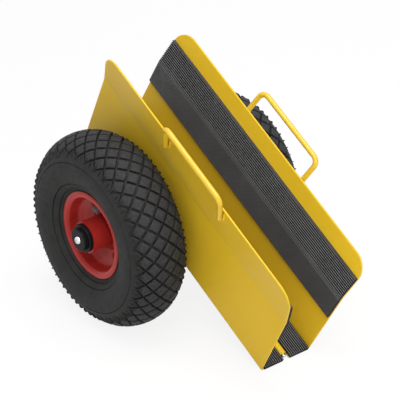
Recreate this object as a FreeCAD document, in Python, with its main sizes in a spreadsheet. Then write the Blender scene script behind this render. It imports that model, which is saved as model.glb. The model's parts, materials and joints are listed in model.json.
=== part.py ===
import FreeCAD, Part
import math
import operator
import os
from types import SimpleNamespace

import Sketcher

# A two-wheeled panel dolly. Two mirrored halves, each a bent side plate with its axle and wheel, are
# hinged along their bottom edges, so a panel set on the bed pulls the padded jaws together.
#
# Every piece is drawn level: X runs along the axle to the right, Y to the rear, Z up, with the
# origin in the middle of the axle line. The finished dolly stands tipped forwards on its wheels and
# on the front edge of its bed, with its origin on the floor under the middle of its box.

# Driving dimensions, in millimetres and degrees
SIZES = {
    # Wheel
    "wheel_diameter": 260.0,
    "wheel_centre": 95.0,
    "tyre_width": 85.0,
    "tyre_widest_radius": 92.0,
    "tyre_wall": 6.0,
    "tread_thickness": 10.0,
    "crown_half_width": 16.0,
    "crown_turn": 34.0,
    "shoulder_turn": 73.0,
    "sidewall_turn": 50.0,
    "tread_groove_width": 2.4,
    "tread_groove_depth": 4.6,
    "tread_groove_lean": 46.0,
    "tread_edge_turn": 27.0,
    "bead_width": 7.0,
    "bead_clearance": 0.25,
    "tube_wall": 2.0,
    "tube_clearance": 0.3,
    # Rim
    "bead_seat_diameter": 101.6,
    "rim_lip_diameter": 117.4,
    "rim_half_width": 29.7,
    "rim_sheet": 2.0,
    "rim_bend": 2.0,
    "rim_neck_diameter": 62.0,
    "rim_well_half_width": 10.0,
    "dish_turn": 36.0,
    # Valve
    "valve_angle": 25.0,
    "valve_slant": 27.0,
    "valve_diameter": 8.0,
    "valve_elbow_radius": 45.0,
    "valve_reach": 21.0,
    "valve_hole_clearance": 0.4,
    "valve_cap_diameter": 10.0,
    "valve_cap_length": 9.0,
    "valve_cap_cover": 5.0,
    # Hub, bearings and axle
    "hub_length": 74.0,
    "hub_diameter": 42.0,
    "bearing_bore": 15.0,
    "bearing_diameter": 35.0,
    "bearing_width": 11.0,
    "bearing_inner_shoulder": 21.5,
    "bearing_outer_shoulder": 28.9,
    "ball_diameter": 5.9,
    "running_clearance": 0.05,
    "axle_bar": 16.0,
    "axle_inner_end": 10.0,
    "axle_collar_diameter": 20.0,
    "axle_collar_length": 9.0,
    "spacer_diameter": 20.0,
    "washer_diameter": 24.0,
    "washer_thickness": 2.0,
    "washer_gap": 0.1,
    "cap_base_diameter": 38.0,
    "cap_front_diameter": 30.0,
    "cap_base_height": 5.0,
    "cap_height": 10.5,
    "cap_gap": 0.6,
    "cap_edge": 1.5,
    "screw_diameter": 6.0,
    "screw_length": 32.0,
    "screw_head_diameter": 10.5,
    "screw_head_height": 3.3,
    "screw_head_turn": 54.0,
    "screw_socket": 4.0,
    "screw_socket_depth": 2.0,
    # Side plates
    "sheet": 2.5,
    "front_reach": 265.0,
    "rear_reach": 140.0,
    "base_half_width": 40.0,
    "bend_half_width": 47.5,
    "bend_height": 120.5,
    "top_half_width": 62.5,
    "top_height": 177.5,
    "base_bend": 1.5,
    "wall_bend": 30.0,
    "top_corner": 25.0,
    "edge_round": 0.8,
    # Rubber pads
    "pad_thickness": 4.0,
    "pad_inset": 0.5,
    "grip_low": 79.0,
    "grip_high": 155.0,
    "base_pad_edge": 5.6,
    "rib_pitch": 3.0,
    "rib_gap": 1.2,
    "rib_height": 1.3,
    "rib_margin": 1.0,
    # Handles
    "rod_diameter": 7.0,
    "handle_foot": 162.0,
    "handle_bar_height": 204.5,
    "handle_bar_half_width": 77.8,
    "handle_front": 121.5,
    "handle_rear": 3.0,
    "handle_bend": 10.0,
    "weld_gap": 0.1,
    # Hinge
    "hinge_height": 10.0,
    "barrel_diameter": 10.0,
    "pin_diameter": 6.0,
    "hinge_setback": 6.0,
    "knuckle_gap": 0.5,
    "flange_gap": 0.4,
    "pocket_start": 10.0,
    "pocket_length": 34.0,
    "middle_knuckle": 26.0,
    "pin_overhang": 2.5,
    "clip_diameter": 9.6,
    "clip_thickness": 1.0,
    "clip_groove": 0.4,
    # Return springs and stops
    "wire_diameter": 1.8,
    "spring_diameter": 8.4,
    "spring_pitch": 2.5,
    "spring_leg": 30.0,
    "lug_start": 20.0,
    "lug_length": 6.0,
    "lug_width": 6.0,
    "lug_wall": 2.0,
    "stop_sheet": 4.0,
    "stop_width": 16.0,
    "stop_clearance": 1.0,
    "stop_root": 30.0,
    "stop_tip": 22.0,
    "stop_shoulder": 11.0,
    "stop_gap": 0.1,
    "front_stop": 62.0,
}

# Counts
SPRING_TURNS = 8
TREAD_GROOVES = 18
FRONT_KNUCKLES = 4
BALLS = 8

LEFT, RIGHT = -1, 1
SIDE_NAMES = {LEFT: "left", RIGHT: "right"}
OUTER, INNER = 1, -1
QUARTER_TURN = 90.0
FULL_TURN = 360.0
SHARP_DEGREES = 30.0
TOLERANCE = 0.01

X_AXIS = FreeCAD.Vector(1, 0, 0)
Y_AXIS = FreeCAD.Vector(0, 1, 0)
Z_AXIS = FreeCAD.Vector(0, 0, 1)

doc = FreeCAD.newDocument("panel_dolly")


class Size:
    """A length or angle that carries both its number and its formula over the sheet's cells."""

    def __init__(self, number, formula):
        self.number = number
        self.formula = formula

    def __add__(self, other):
        return joined(self, "+", other)

    def __radd__(self, other):
        return joined(other, "+", self)

    def __sub__(self, other):
        return joined(self, "-", other)

    def __rsub__(self, other):
        return joined(other, "-", self)

    def __mul__(self, other):
        return joined(self, "*", other)

    def __rmul__(self, other):
        return joined(other, "*", self)

    def __truediv__(self, other):
        return joined(self, "/", other)

    def __neg__(self):
        return joined(0, "-", self)


SIGNS = {"+": operator.add, "-": operator.sub, "*": operator.mul, "/": operator.truediv}


def as_size(value):
    return value if isinstance(value, Size) else Size(float(value), f"{float(value):.9g}")


def joined(left, sign, right):
    left = as_size(left)
    right = as_size(right)
    return Size(SIGNS[sign](left.number, right.number), f"({left.formula} {sign} {right.formula})")


def sine(angle):
    angle = as_size(angle)
    return Size(math.sin(math.radians(angle.number)), f"sin({angle.formula})")


def distance(across, along):
    across = as_size(across)
    along = as_size(along)
    formula = f"sqrt({across.formula} * {across.formula} + {along.formula} * {along.formula})"
    return Size(math.hypot(across.number, along.number), formula)


def height_within(radius, half_width):
    """How far up a round something of a width can reach inside it."""
    formula = f"sqrt({radius.formula} * {radius.formula} - {half_width.formula} * {half_width.formula})"
    return Size(math.sqrt(radius.number ** 2 - half_width.number ** 2), formula)


# The sheet: the driving dimensions, then what is worked out from them


def inside_face(size, depth):
    """Where the folds of a side plate's profile lie, at a depth inside its outer face."""
    lower = math.atan2(size.bend_half_width - size.base_half_width, size.bend_height - size.axle_bar / 2)
    upper = math.atan2(size.top_half_width - size.bend_half_width, size.top_height - size.bend_height)
    middle = (lower + upper) / 2
    mitre = depth / math.cos((upper - lower) / 2)
    return SimpleNamespace(
        lower=lower,
        upper=upper,
        base_x=size.base_half_width - depth * math.cos(lower) / (1 + math.sin(lower)),
        bend_x=size.bend_half_width - mitre * math.cos(middle),
        bend_z=size.bend_height + mitre * math.sin(middle),
        top_x=size.top_half_width - depth * math.cos(upper),
        top_z=size.top_height + depth * math.sin(upper),
    )


def on_lower_wall(size, height, depth):
    """The point of the lower wall at a height of its outer face, moved inwards by a depth."""
    lean = inside_face(size, depth).lower
    reach = size.base_half_width + (height - size.axle_bar / 2) * math.tan(lean)
    return reach - depth * math.cos(lean), height + depth * math.sin(lean)


def on_upper_flange(size, height, depth):
    """The point of the upper flange at a height of its outer face, moved inwards by a depth."""
    lean = inside_face(size, depth).upper
    reach = size.bend_half_width + (height - size.bend_height) * math.tan(lean)
    return reach - depth * math.cos(lean), height + depth * math.sin(lean)


def fold(name, corner, radius, way_in, way_out):
    """Where a rounded fold leaves one wall and joins the next, from the walls' ways as angles from +X."""
    turn = way_out - way_in
    reach = radius * math.tan(abs(turn) / 2)
    return {
        f"{name}_start": corner[0] - reach * math.cos(way_in),
        f"{name}_start_height": corner[1] - reach * math.sin(way_in),
        f"{name}_turn": math.degrees(turn),
        f"{name}_end": corner[0] + reach * math.cos(way_out),
        f"{name}_end_height": corner[1] + reach * math.sin(way_out),
    }


def plate_folds(size):
    """The two folds of a side plate, on its outer face from the bed up and on its inner face down again."""
    inner = inside_face(size, size.sheet)
    upright = math.pi / 2
    up_lower = upright - inner.lower
    up_upper = upright - inner.upper
    base = (size.base_half_width, size.axle_bar / 2)
    inner_base = (inner.base_x, size.axle_bar / 2 + size.sheet)
    bend = (size.bend_half_width, size.bend_height)
    inner_bend = (inner.bend_x, inner.bend_z)
    return {
        **fold("outer_base", base, size.base_bend + size.sheet, 0, up_lower),
        **fold("outer_bend", bend, size.wall_bend, up_lower, up_upper),
        **fold("inner_bend", inner_bend, size.wall_bend + size.sheet, up_upper - math.pi, up_lower - math.pi),
        **fold("inner_base", inner_base, size.base_bend, up_lower - math.pi, -math.pi),
    }


def standing_tilt(size):
    """The tilt at which the rounded front edge of the bed touches the floor, in radians."""
    along = size.front_reach - size.edge_round
    above = size.axle_bar / 2 + size.edge_round
    drop = size.wheel_diameter / 2 - size.edge_round
    return math.asin(drop / math.hypot(along, above)) + math.atan2(above, along)


def foremost_reach(size, tilt):
    """How far the tilted plates' rounded top front corners reach ahead of the axle."""
    inner = inside_face(size, size.sheet)
    rise = math.cos(inner.upper)
    along = size.front_reach - size.top_corner
    above = inner.top_z - size.top_corner * rise
    swing = math.hypot(math.cos(tilt), rise * math.sin(tilt))
    return along * math.cos(tilt) + above * math.sin(tilt) + size.top_corner * swing


def crown_edge_radius(size):
    """The wheel's radius where the tyre's crown meets its shoulder."""
    return size.wheel_diameter / 2 - size.crown_half_width * math.tan(math.radians(size.crown_turn / 4))


def tread_edge(size):
    """Where the tread's grooves run out, a part of the way round from the widest place to the crown."""
    widest = (size.tyre_width / 2, size.tyre_widest_radius)
    across = size.crown_half_width - widest[0]
    above = crown_edge_radius(size) - widest[1]
    whole = math.radians(size.shoulder_turn)
    part = math.radians(size.tread_edge_turn)
    chord = math.hypot(across, above) * math.sin(part / 2) / math.sin(whole / 2)
    way = math.atan2(above, across) - whole / 2 + part / 2
    return widest[0] + chord * math.cos(way), widest[1] + chord * math.sin(way)


def worked_out(size):
    """Sizes that follow from the driving ones through angles."""
    tilt = standing_tilt(size)
    inner = inside_face(size, size.sheet)
    front = inside_face(size, size.sheet + size.pad_thickness)
    radius = size.wheel_diameter / 2
    low_back = on_lower_wall(size, size.grip_low, size.sheet)
    low_front = on_lower_wall(size, size.grip_low, size.sheet + size.pad_thickness)
    high_back = on_upper_flange(size, size.grip_high, size.sheet)
    high_front = on_upper_flange(size, size.grip_high, size.sheet + size.pad_thickness)
    foot = on_upper_flange(size, size.handle_foot, -size.rod_diameter / 2 - size.weld_gap)
    run_out = tread_edge(size)
    across = size.handle_bar_half_width - foot[0]
    above = size.handle_bar_height - foot[1]
    return {
        "tilt": math.degrees(tilt),
        "box_middle": (radius - foremost_reach(size, tilt)) / 2,
        "lower_lean": math.degrees(inner.lower),
        "upper_lean": math.degrees(inner.upper),
        "base_inside": inner.base_x,
        "bend_inside": inner.bend_x,
        "bend_inside_height": inner.bend_z,
        "top_inside": inner.top_x,
        "top_inside_height": inner.top_z,
        "grip_low_back": low_back[0],
        "grip_low_back_height": low_back[1],
        "grip_low_front": low_front[0],
        "grip_low_front_height": low_front[1],
        "grip_high_back": high_back[0],
        "grip_high_back_height": high_back[1],
        "grip_high_front": high_front[0],
        "grip_high_front_height": high_front[1],
        "grip_bend_front": front.bend_x,
        "grip_bend_front_height": front.bend_z,
        "grip_lower_run": math.dist(low_front, (front.bend_x, front.bend_z)),
        "grip_upper_run": math.dist(high_front, (front.bend_x, front.bend_z)),
        "handle_foot_out": foot[0],
        "handle_foot_height": foot[1],
        "handle_lean": math.degrees(math.atan2(across, above)),
        "handle_rise": math.hypot(across, above),
        "crown_edge_radius": crown_edge_radius(size),
        "tread_edge": run_out[0],
        "tread_edge_radius": run_out[1],
        **plate_folds(size),
    }


def fill_sheet(sizes):
    """Write each size in a cell of its own and give back the sizes by name."""
    sheet = doc.addObject("Spreadsheet::Sheet", "Sheet")
    for row, (name, number) in enumerate(sizes.items(), start=1):
        sheet.set(f"A{row}", name)
        sheet.set(f"B{row}", repr(number))
        sheet.setAlias(f"B{row}", name)
    doc.recompute()
    return SimpleNamespace(**{name: Size(number, f"Sheet.{name}") for name, number in sizes.items()})


DRIVING = SimpleNamespace(**SIZES)
s = fill_sheet({**SIZES, **worked_out(DRIVING)})

# Places that several pieces share
wheel_radius = s.wheel_diameter / 2
bed_underside = s.axle_bar / 2
bed_top = bed_underside + s.sheet
hub_inner_end = s.wheel_centre - s.hub_length / 2
hub_outer_end = s.wheel_centre + s.hub_length / 2
flange_edge = s.barrel_diameter / 2 + s.flange_gap
hinge_front = s.hinge_setback - s.front_reach
hinge_rear = s.rear_reach - s.hinge_setback
middle_pocket_end = s.pocket_start + s.pocket_length
rear_pocket_start = middle_pocket_end + s.middle_knuckle
rear_pocket_end = rear_pocket_start + s.pocket_length
spring_length = s.spring_pitch * SPRING_TURNS
leg_height = s.hinge_height - s.spring_diameter / 2
spindle_end = hub_outer_end - s.washer_gap
washer_face = hub_outer_end + s.washer_thickness
cap_back = hub_outer_end + s.cap_gap
cap_face = cap_back + s.cap_height

SUBPARTS = []


def bind(thing, **sizes):
    """Bind properties to formulas; a double underscore stands for a dot in a property's path."""
    for path, size in sizes.items():
        thing.setExpression(path.replace("__", "."), as_size(size).formula)
    return thing


def finish(thing, label, spin=0):
    """Name a sub-part and stand it up: tipped about the axle line, over the floor."""
    thing.Label = label
    thing.Placement = FreeCAD.Placement(FreeCAD.Vector(), FreeCAD.Rotation(X_AXIS, 1))
    bind(thing, Placement__Base__y=-s.box_middle, Placement__Base__z=wheel_radius)
    bind(thing, Placement__Rotation__Angle=s.tilt - spin)
    SUBPARTS.append(thing)
    return thing


# Sketches


def arc_between(start, end, turn):
    """The arc from start to end that turns by an angle, in degrees, to the left if positive."""
    chord = end - start
    radius = chord.Length / (2 * math.sin(math.radians(abs(turn)) / 2))
    left = FreeCAD.Vector(-chord.y, chord.x, 0).normalize()
    reach = radius * math.cos(math.radians(turn) / 2) * math.copysign(1, turn)
    centre = (start + end) * 0.5 + left * reach
    first, last = (start, end) if turn > 0 else (end, start)
    angles = [math.atan2(point.y - centre.y, point.x - centre.x) for point in (first, last)]
    return Part.ArcOfCircle(Part.Circle(centre, Z_AXIS, radius), *angles)


def draw(sketch, points, closed=True):
    """Draw straight and round stretches through points, each point bound to its sizes.

    A point is (x, y), or (x, y, turn) where the stretch after it is an arc that turns by that angle.
    """
    places = [FreeCAD.Vector(as_size(point[0]).number, as_size(point[1]).number, 0) for point in points]
    stretches = []
    for index in range(len(points) if closed else len(points) - 1):
        following = (index + 1) % len(points)
        start, end = places[index], places[following]
        if len(points[index]) == 2:
            stretches.append((sketch.addGeometry(Part.LineSegment(start, end)), 1, 2))
            continue
        turn = as_size(points[index][2])
        ends = (1, 2) if turn.number > 0 else (2, 1)
        stretches.append((sketch.addGeometry(arc_between(start, end, turn.number)), *ends))
        across = as_size(points[following][0]) - points[index][0]
        along = as_size(points[following][1]) - points[index][1]
        radius = distance(across, along) / (2 * math.copysign(1, turn.number) * sine(turn / 2))
        dimension(sketch, Sketcher.Constraint("Radius", stretches[-1][0], radius.number), radius)
    for index, (geometry, _, end) in enumerate(stretches[: None if closed else -1]):
        following, start, _ = stretches[(index + 1) % len(stretches)]
        sketch.addConstraint(Sketcher.Constraint("Coincident", geometry, end, following, start))
    corners = [(geometry, start) for geometry, start, _ in stretches]
    if not closed:
        corners.append((stretches[-1][0], stretches[-1][2]))
    for (geometry, corner), point in zip(corners, points):
        for kind, size in zip(("DistanceX", "DistanceY"), point):
            number = as_size(size).number
            dimension(sketch, Sketcher.Constraint(kind, -1, 1, geometry, corner, number), size)


def dimension(sketch, constraint, size):
    index = sketch.addConstraint(constraint)
    bind(sketch, **{f"Constraints[{index}]": size})


def sketch_on(body, role):
    """A new sketch on one of a body's own origin planes."""
    plane = next(feature for feature in body.Origin.OriginFeatures if feature.Role == role)
    sketch = body.newObject("Sketcher::SketchObject", f"{body.Name}_{role}")
    sketch.AttachmentSupport = [(plane, "")]
    sketch.MapMode = "FlatFace"
    return sketch


def sided(points, side, shift=0):
    """Mirror an outline for the left side and move it along X."""
    mirrored = []
    for point in points:
        turn = tuple(side * as_size(angle) for angle in point[2:])
        mirrored.append((side * as_size(point[0]) + shift, point[1]) + turn)
    return mirrored


# Kinds of piece


def turned(name, *outlines):
    """A body turned about the axle line from outlines of (x, radius)."""
    body = doc.addObject("PartDesign::Body", name)
    sketch = sketch_on(body, "XZ_Plane")
    for points in outlines:
        draw(sketch, points)
    turning = body.newObject("PartDesign::Revolution", f"{name}_turning")
    turning.Profile = sketch
    turning.ReferenceAxis = (sketch, ["H_Axis"])
    turning.Angle = FULL_TURN
    return body


def extruded(name, points, front, rear):
    """A body with an outline of (x, z), running along Y from a front to a rear reach."""
    body = doc.addObject("PartDesign::Body", name)
    sketch = sketch_on(body, "XZ_Plane")
    draw(sketch, points)
    bind(sketch, AttachmentOffset__Base__z=-as_size(rear))
    length = body.newObject("PartDesign::Pad", f"{name}_length")
    length.Profile = sketch
    bind(length, Length=as_size(rear) - front)
    return body


def rounded(body, edges, radius):
    """Round edges of a body's last feature."""
    base = body.Tip
    rounding = body.newObject("PartDesign::Fillet", f"{body.Name}_round")
    rounding.Base = (base, edges)
    bind(rounding, Radius=radius)
    doc.recompute()
    return rounding


def edges_where(shape, test):
    return [f"Edge{index}" for index, edge in enumerate(shape.Edges, start=1) if test(edge)]


def cylinder_x(name, diameter, start, end, side=RIGHT):
    """A cylinder on the axle line, from a start to an end out from the middle of the dolly."""
    cylinder = doc.addObject("Part::Cylinder", name)
    cylinder.Placement = FreeCAD.Placement(FreeCAD.Vector(), FreeCAD.Rotation(Y_AXIS, side * QUARTER_TURN))
    bind(cylinder, Radius=as_size(diameter) / 2, Height=as_size(end) - start)
    return bind(cylinder, Placement__Base__x=side * as_size(start))


def cylinder_y(name, diameter, front, rear):
    """A cylinder on the hinge line, from a front to a rear reach."""
    cylinder = doc.addObject("Part::Cylinder", name)
    cylinder.Placement = FreeCAD.Placement(FreeCAD.Vector(), FreeCAD.Rotation(X_AXIS, -QUARTER_TURN))
    bind(cylinder, Radius=as_size(diameter) / 2, Height=as_size(rear) - front)
    return bind(cylinder, Placement__Base__y=front, Placement__Base__z=s.hinge_height)


def block(name, x_range, y_range, z_range, side=RIGHT):
    """A box between ranges; the X range is measured out from the middle of the dolly."""
    box = doc.addObject("Part::Box", name)
    near = x_range[0] if side == RIGHT else -as_size(x_range[1])
    bind(box, Length=as_size(x_range[1]) - x_range[0])
    bind(box, Width=as_size(y_range[1]) - y_range[0], Height=as_size(z_range[1]) - z_range[0])
    return bind(box, Placement__Base__x=near, Placement__Base__y=y_range[0], Placement__Base__z=z_range[0])


def cut(name, base, tool):
    piece = doc.addObject("Part::Cut", name)
    piece.Base = base
    piece.Tool = tool
    return piece


def fused(name, pieces):
    piece = doc.addObject("Part::MultiFuse", name)
    piece.Shapes = pieces
    return piece


def group(name, pieces):
    """Identical pieces kept as separate solids of one sub-part."""
    compound = doc.addObject("Part::Compound", name)
    compound.Links = pieces
    return compound


# Side plates and what is fixed to them


def side_plate(side):
    name = f"{SIDE_NAMES[side]}_side_plate"
    profile = [
        (flange_edge, bed_underside),
        (s.outer_base_start, s.outer_base_start_height, s.outer_base_turn),
        (s.outer_base_end, s.outer_base_end_height),
        (s.outer_bend_start, s.outer_bend_start_height, s.outer_bend_turn),
        (s.outer_bend_end, s.outer_bend_end_height),
        (s.top_half_width, s.top_height),
        (s.top_inside, s.top_inside_height),
        (s.inner_bend_start, s.inner_bend_start_height, s.inner_bend_turn),
        (s.inner_bend_end, s.inner_bend_end_height),
        (s.inner_base_start, s.inner_base_start_height, s.inner_base_turn),
        (s.inner_base_end, s.inner_base_end_height),
        (flange_edge, bed_top),
    ]
    body = extruded(name, sided(profile, side), -s.front_reach, s.rear_reach)
    doc.recompute()

    def across_top_corner(edge):
        level = all(vertex.Z > s.top_height.number - TOLERANCE for vertex in edge.Vertexes)
        ends = {round(abs(vertex.Y), 2) for vertex in edge.Vertexes}
        return level and ends in ({round(s.front_reach.number, 2)}, {round(s.rear_reach.number, 2)})

    rounded(body, edges_where(body.Shape, across_top_corner), s.top_corner)
    rounded(body, sharp_edges(body.Shape), s.edge_round)
    return finish(body, name)


def sharp_edges(shape):
    """Edges where two faces meet at a clear angle."""
    names = []
    for index, edge in enumerate(shape.Edges, start=1):
        faces = shape.ancestorsOfType(edge, Part.Face)
        middle = edge.valueAt((edge.FirstParameter + edge.LastParameter) / 2)
        normals = [face.normalAt(*face.Surface.parameter(middle)) for face in faces]
        if len(normals) == 2 and math.degrees(normals[0].getAngle(normals[1])) > SHARP_DEGREES:
            names.append(f"Edge{index}")
    return names


def grooves(body, name, place, angle, run, side, axis):
    """A row of grooves along Y, cut square into a pad's face from the start of a straight run."""
    sketch = body.newObject("Sketcher::SketchObject", f"{name}_groove")
    plane = next(feature for feature in body.Origin.OriginFeatures if feature.Role == "XZ_Plane")
    sketch.AttachmentSupport = [(plane, "")]
    sketch.MapMode = "FlatFace"
    sketch.AttachmentOffset = FreeCAD.Placement(FreeCAD.Vector(), FreeCAD.Rotation(Z_AXIS, 1))
    bind(sketch, AttachmentOffset__Base__x=place[0], AttachmentOffset__Base__y=place[1])
    bind(sketch, AttachmentOffset__Rotation__Angle=angle)
    first = s.rib_margin
    last = s.rib_margin + s.rib_gap
    deep = s.rib_height
    if axis == "V_Axis":
        outline = [(-deep, first), (deep, first), (deep, last), (-deep, last)]
    else:
        outline = [(first, -deep), (last, -deep), (last, deep), (first, deep)]
    draw(sketch, sided(outline, side))
    groove = body.newObject("PartDesign::Pocket", f"{name}_cut")
    groove.Profile = sketch
    groove.Type = "ThroughAll"
    groove.SideType = "Symmetric"
    row = body.newObject("PartDesign::LinearPattern", f"{name}_row")
    row.Originals = [groove]
    row.Direction = (sketch, [axis])
    row.Reversed = axis == "H_Axis" and side == LEFT
    row.Mode = "Spacing"
    bind(row, Offset=s.rib_pitch)
    count = (run - s.rib_margin * 2 - s.rib_gap) / s.rib_pitch
    row.setExpression("Occurrences", f"floor({count.formula}) + 1")
    body.Tip = row


def grip_pad(side):
    name = f"{SIDE_NAMES[side]}_grip_pad"
    profile = [
        (s.grip_low_back, s.grip_low_back_height),
        (s.bend_inside, s.bend_inside_height),
        (s.grip_high_back, s.grip_high_back_height),
        (s.grip_high_front, s.grip_high_front_height),
        (s.grip_bend_front, s.grip_bend_front_height),
        (s.grip_low_front, s.grip_low_front_height),
    ]
    body = extruded(name, sided(profile, side), s.pad_inset - s.front_reach, s.rear_reach - s.pad_inset)
    low = (side * s.grip_low_front, s.grip_low_front_height)
    bend = (side * s.grip_bend_front, s.grip_bend_front_height)
    grooves(body, f"{name}_lower", low, -side * s.lower_lean, s.grip_lower_run, side, "V_Axis")
    grooves(body, f"{name}_upper", bend, -side * s.upper_lean, s.grip_upper_run, side, "V_Axis")
    return finish(body, name)


def base_pad(side):
    name = f"{SIDE_NAMES[side]}_base_pad"
    crest = bed_top + s.pad_thickness
    outer_edge = s.base_inside - s.base_bend - s.weld_gap
    profile = [
        (s.base_pad_edge, bed_top),
        (outer_edge, bed_top),
        (outer_edge, crest),
        (s.base_pad_edge, crest),
    ]
    body = extruded(name, sided(profile, side), s.pad_inset - s.front_reach, s.rear_reach - s.pad_inset)
    run = outer_edge - s.base_pad_edge
    grooves(body, name, (side * s.base_pad_edge, crest), as_size(0), run, side, "H_Axis")
    return finish(body, name)


def handle(side):
    """A round rod bent to a U, leaning out, its feet on the upper flange's outer face."""
    name = f"{SIDE_NAMES[side]}_handle"
    body = doc.addObject("PartDesign::Body", name)
    lean = side * s.handle_lean
    path = sketch_on(body, "YZ_Plane")
    path.AttachmentOffset = FreeCAD.Placement(FreeCAD.Vector(), FreeCAD.Rotation(X_AXIS, 1))
    bind(path, AttachmentOffset__Base__z=side * s.handle_foot_out)
    bind(path, AttachmentOffset__Base__y=s.handle_foot_height, AttachmentOffset__Rotation__Angle=lean)
    bend_start = s.handle_rise - s.handle_bend
    route = [
        (-s.handle_front, 0),
        (-s.handle_front, bend_start, -QUARTER_TURN),
        (s.handle_bend - s.handle_front, s.handle_rise),
        (-s.handle_rear - s.handle_bend, s.handle_rise, -QUARTER_TURN),
        (-s.handle_rear, bend_start),
        (-s.handle_rear, 0),
    ]
    draw(path, route, closed=False)
    section = sketch_on(body, "XY_Plane")
    section.AttachmentOffset = FreeCAD.Placement(FreeCAD.Vector(), FreeCAD.Rotation(Y_AXIS, 1))
    bind(section, AttachmentOffset__Base__x=side * s.handle_foot_out)
    bind(section, AttachmentOffset__Base__y=-s.handle_front)
    bind(section, AttachmentOffset__Base__z=s.handle_foot_height, AttachmentOffset__Rotation__Angle=lean)
    circle = section.addGeometry(Part.Circle(FreeCAD.Vector(), Z_AXIS, s.rod_diameter.number / 2))
    section.addConstraint(Sketcher.Constraint("Coincident", circle, 3, -1, 1))
    radius = s.rod_diameter / 2
    dimension(section, Sketcher.Constraint("Radius", circle, radius.number), radius)
    rod = body.newObject("PartDesign::AdditivePipe", f"{name}_rod")
    rod.Profile = section
    rod.Spine = (path, [f"Edge{index}" for index in range(1, len(route))])
    return finish(body, name)


# Hinge


def knuckle_row():
    """The barrel's knuckles from front to rear, as (side, front, rear)."""
    pitch = (s.pocket_start - hinge_front) / FRONT_KNUCKLES
    row = []
    for index in range(FRONT_KNUCKLES):
        front = hinge_front + pitch * index
        row.append((LEFT if index % 2 == 0 else RIGHT, front, front + pitch))
    row.append((LEFT, middle_pocket_end, rear_pocket_start))
    row.append((RIGHT, rear_pocket_end, hinge_rear))
    return [(side, front + s.knuckle_gap / 2, rear - s.knuckle_gap / 2) for side, front, rear in row]


def hinge_knuckles(side):
    """Barrel pieces, each with a tongue that reaches its own plate's flange."""
    name = f"{SIDE_NAMES[side]}_hinge_knuckles"
    knuckles = []
    for index, (owner, front, rear) in enumerate(knuckle_row()):
        if owner != side:
            continue
        tag = f"{name}_{index}"
        barrel = cylinder_y(f"{tag}_barrel", s.barrel_diameter, front, rear)
        tongue_x = (s.barrel_diameter / 2 - s.sheet / 2, flange_edge)
        tongue = block(f"{tag}_tongue", tongue_x, (front, rear), (bed_underside, bed_top), side)
        bore = cylinder_y(f"{tag}_bore", s.pin_diameter + s.running_clearance * 2, front, rear)
        knuckles.append(cut(tag, fused(f"{tag}_blank", [barrel, tongue]), bore))
    return finish(group(name, knuckles), name)


def pin_ends():
    """Each end of the pin as (barrel end, direction out of it)."""
    return [(hinge_front, -1), (hinge_rear, 1)]


def clip_range(end, direction):
    """A clip's front and rear faces, just outside an end of the barrel."""
    near = end
    far = end + direction * s.clip_thickness
    return (far, near) if direction < 0 else (near, far)


def hinge_pin():
    pin = cylinder_y("pin_rod", s.pin_diameter, hinge_front - s.pin_overhang, hinge_rear + s.pin_overhang)
    for index, (end, direction) in enumerate(pin_ends()):
        faces = clip_range(end, direction)
        ring = cylinder_y(f"pin_groove_ring_{index}", s.pin_diameter * 2, *faces)
        core = cylinder_y(f"pin_groove_core_{index}", s.pin_diameter - s.clip_groove * 2, *faces)
        pin = cut(f"pin_grooved_{index}", pin, cut(f"pin_groove_{index}", ring, core))
    return finish(pin, "hinge_pin")


def hinge_pin_clips():
    """Open rings sprung into the pin's grooves."""
    clips = []
    for index, (end, direction) in enumerate(pin_ends()):
        faces = clip_range(end, direction)
        hole = s.pin_diameter - s.clip_groove * 2 + s.running_clearance * 2
        ring = cylinder_y(f"clip_ring_{index}", s.clip_diameter, *faces)
        ring = cut(f"clip_open_{index}", ring, cylinder_y(f"clip_hole_{index}", hole, *faces))
        mouth_x = (-s.pin_diameter / 4, s.pin_diameter / 4)
        mouth_z = (s.hinge_height, s.hinge_height + s.clip_diameter)
        mouth = block(f"clip_mouth_{index}", mouth_x, faces, mouth_z)
        clips.append(cut(f"clip_{index}", ring, mouth))
    return finish(group("hinge_pin_clips", clips), "hinge_pin_clips")


def stop_saddles():
    """Strips under the left flange that pass below the barrel and carry the right flange when open."""
    low = s.hinge_height - s.barrel_diameter / 2 - s.stop_clearance
    inner = s.stop_shoulder
    outer = s.stop_shoulder + s.stop_sheet
    rest = bed_underside - s.stop_gap
    profile = [
        (-s.stop_root, bed_underside - s.stop_sheet),
        (-outer, bed_underside - s.stop_sheet),
        (-inner - s.stop_sheet / 2, low - s.stop_sheet),
        (inner + s.stop_sheet / 2, low - s.stop_sheet),
        (outer, rest - s.stop_sheet),
        (s.stop_tip, rest - s.stop_sheet),
        (s.stop_tip, rest),
        (inner, rest),
        (inner - s.stop_sheet / 2, low),
        (s.stop_sheet / 2 - inner, low),
        (-inner, bed_underside),
        (-s.stop_root, bed_underside),
    ]
    rear_stop = (middle_pocket_end + rear_pocket_start) / 2
    stops = [
        extruded(f"stop_{index}", profile, place - s.stop_width / 2, place + s.stop_width / 2)
        for index, place in enumerate((-s.front_stop, rear_stop))
    ]
    return finish(group("stop_saddles", stops), "stop_saddles")


def spring_places():
    """Where each spring's winding starts along the hinge."""
    margin = (s.pocket_length - spring_length) / 2
    return {"front": s.pocket_start + margin, "rear": rear_pocket_start + margin}


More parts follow.
